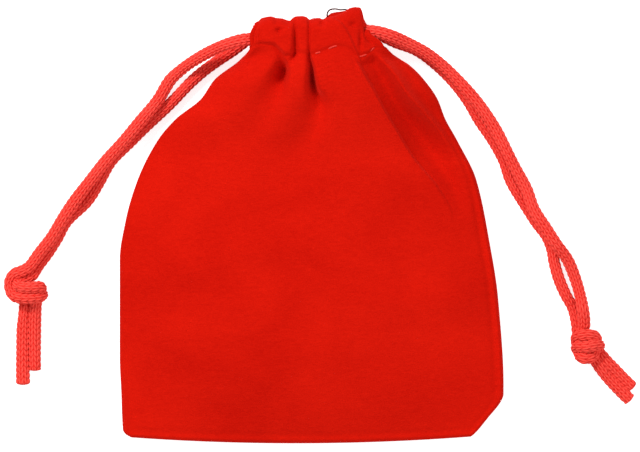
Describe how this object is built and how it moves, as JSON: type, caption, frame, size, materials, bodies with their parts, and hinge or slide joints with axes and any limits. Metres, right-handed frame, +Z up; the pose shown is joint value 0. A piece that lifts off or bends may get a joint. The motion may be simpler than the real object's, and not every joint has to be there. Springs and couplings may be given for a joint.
{
  "type": "drawstring pouch",
  "caption": "Small velvet drawstring pouch lying flat, its neck drawn shut by doubled knit cords that run through the hem and end in knots on each side.",
  "frame": {"origin": "on the surface it lies on, under the middle of the pouch without its cords", "axes": "+X across the pouch to its right, +Y from the bottom seam to the mouth, +Z up from the surface through the front panel"},
  "size_m": [0.1614, 0.1114, 0.0184],
  "materials": {
    "velvet": "matt",
    "knit_cord": "matt"
  },
  "bodies": {
    "root": {"front_panel": "velvet", "back_panel": "velvet", "left_cord": "knit_cord", "right_cord": "knit_cord", "left_knot": "knit_cord", "right_knot": "knit_cord", "left_tail_long": "knit_cord", "left_tail_short": "knit_cord", "right_tail_long": "knit_cord", "right_tail_short": "knit_cord"}
  },
  "joints": []
}
